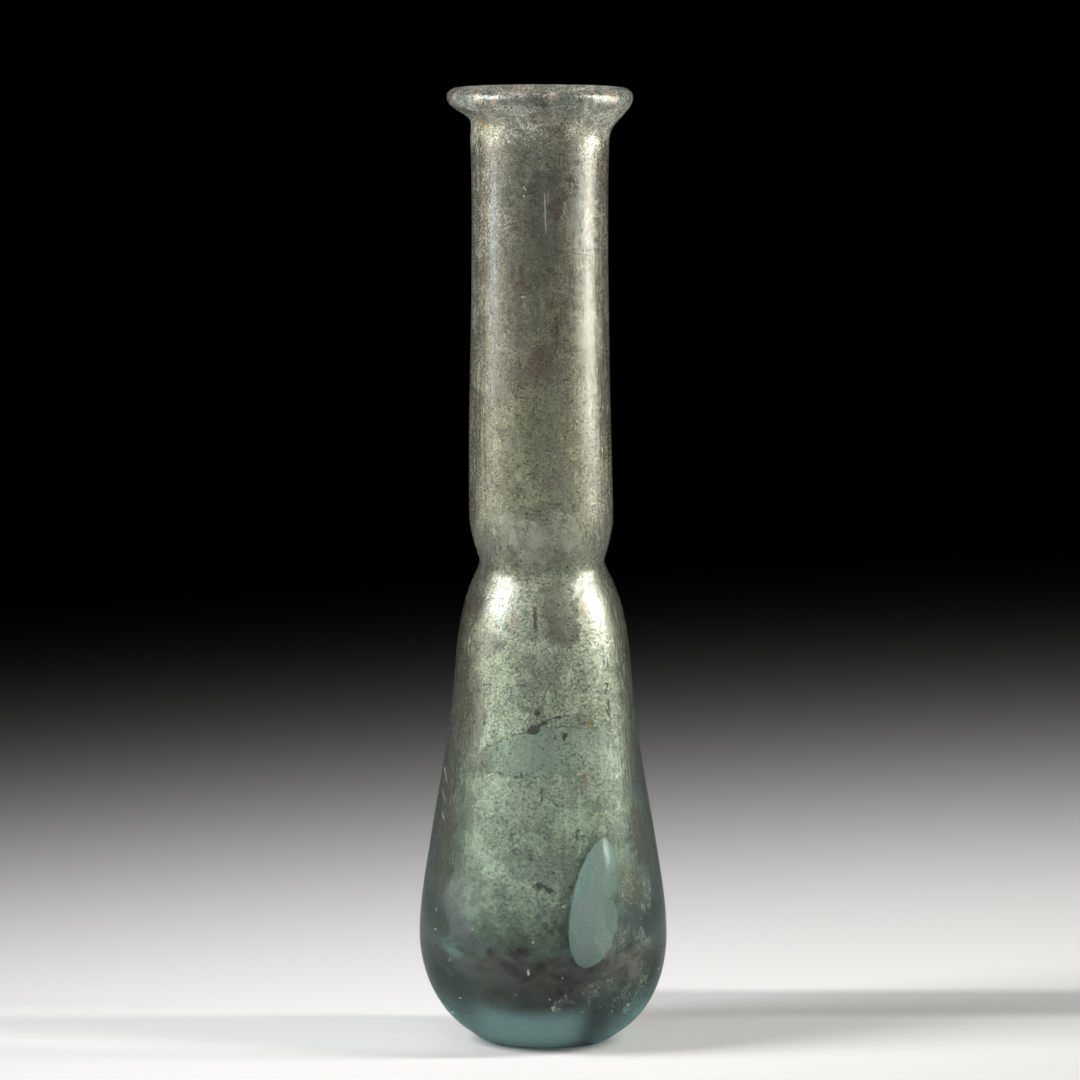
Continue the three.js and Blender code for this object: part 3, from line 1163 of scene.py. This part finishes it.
world = bpy.data.worlds.new("studio dark")
world.use_nodes = True
bpy.context.scene.world = world
tree = world.node_tree
heading = add(tree, "ShaderNodeSeparateXYZ", {0: tree.nodes.new("ShaderNodeTexCoord").outputs["Generated"]})
front = between(tree, heading.outputs["Y"], -0.3, -1.0, 0.012, 0.55)
wall_light = add(tree, "ShaderNodeCombineColor", {0: front, 1: front, 2: front}).outputs[0]
tree.links.new(wall_light, tree.nodes["Background"].inputs["Color"])
print("the room:", world.name)


# %% Softboxes and strips
def softbox(name, azimuth, elevation, distance, width, tall, watts, color=(1, 1, 1), lean=0):
    """A rectangular lamp aimed at the middle of the flask, turned in its own plane by a lean.

    Azimuth 0 is the camera's side. A positive lean brings the top of a lamp on the right forward.
    """
    aim = Vector((0, 0, height / 2 * MM))
    a, e = np.radians(azimuth), np.radians(elevation)
    away = Vector((np.sin(a) * np.cos(e), -np.cos(a) * np.cos(e), np.sin(e)))
    lamp = bpy.data.lights.new(name, "AREA")
    lamp.shape = "RECTANGLE"
    lamp.size = width
    lamp.size_y = tall
    lamp.energy = watts
    lamp.color = color
    box = bpy.data.objects.new(name, lamp)
    box.location = aim + distance * away
    turned = away.to_track_quat("Z", "Y") @ Quaternion((0, 0, 1), np.radians(lean))
    box.rotation_euler = turned.to_euler()
    box.visible_camera = False
    bpy.context.scene.collection.objects.link(box)
    return box


softbox("right box", 84, 32, 0.55, 0.08, 0.44, 3.9, (1, 0.97, 0.92), lean=16)
softbox("left box", -71, 34, 0.6, 0.25, 0.36, 5.4)
softbox("back glow", 172, 30, 0.8, 0.62, 0.40, 0.42)
right_strip = softbox("right neck strip", 90, 17, 0.15, 0.045, 0.08, 0.155, (1, 0.97, 0.92))
left_strip = softbox("left neck strip", -85, 17, 0.15, 0.045, 0.09, 0.055, (1, 0.96, 0.88))
for strip in (right_strip, left_strip):
    strip.visible_diffuse = False
print("lamps:", [lamp.name for lamp in bpy.data.lights])


# %% The snoot
def snoot(name, place, aim, circle, watts):
    """A lamp in a narrow tube: its light makes a soft-edged circle of some radius at its aim."""
    away = Vector(place) - Vector(aim)
    lamp = bpy.data.lights.new(name, "SPOT")
    lamp.energy = watts
    lamp.spot_size = 2 * np.arctan(circle / away.length)
    lamp.spot_blend = 1.0
    lamp.shadow_soft_size = 0.02
    tube = bpy.data.objects.new(name, lamp)
    tube.location = place
    tube.rotation_euler = away.to_track_quat("Z", "Y").to_euler()
    tube.visible_camera = False
    tube.visible_glossy = False
    bpy.context.scene.collection.objects.link(tube)
    return tube


lip_snoot = snoot("lip snoot", (0, -0.4, 0.008), (0, 0, 0.128), 0.022, 1.6)
print(f"the snoot's cone is {np.degrees(lip_snoot.data.spot_size):.1f} degrees wide")

# %% [markdown]
# ## The camera
#
# A long lens from nearly a metre away keeps the flask's sides straight, and the camera stands a
# little above the lip and looks down by some degrees, so that the foot shows its curve. The plain
# Standard view keeps the colours as they are set.

# %% Camera
scene = bpy.context.scene
DISTANCE = 0.900
EYE_HEIGHT = 0.15617
EYE_ASIDE = -0.389
PITCH = 5.89
FOCAL_LENGTH = 240.4
lens = bpy.data.cameras.new("camera")
lens.sensor_width = 36
lens.lens = FOCAL_LENGTH
camera = bpy.data.objects.new("camera", lens)
camera.location = (EYE_ASIDE * MM, -DISTANCE, EYE_HEIGHT)
camera.rotation_euler = (np.radians(90 - PITCH), 0, 0)
scene.collection.objects.link(camera)
scene.camera = camera
lens.clip_end = 20
scene.view_settings.view_transform = "Standard"
scene.cycles.transparent_max_bounces = 24
print(f"a {lens.lens:.0f} mm lens, {DISTANCE} m in front")

# %% [markdown]
# ## Handing over
#
# Each piece is tied to the body that carries it, and the fine glass stands in for the plain one.

# %% Riding, and hiding the plain flask
for piece in (flask, film, haze, sediment, lining_of_bubble):
    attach(piece, "root")
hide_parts("flask")
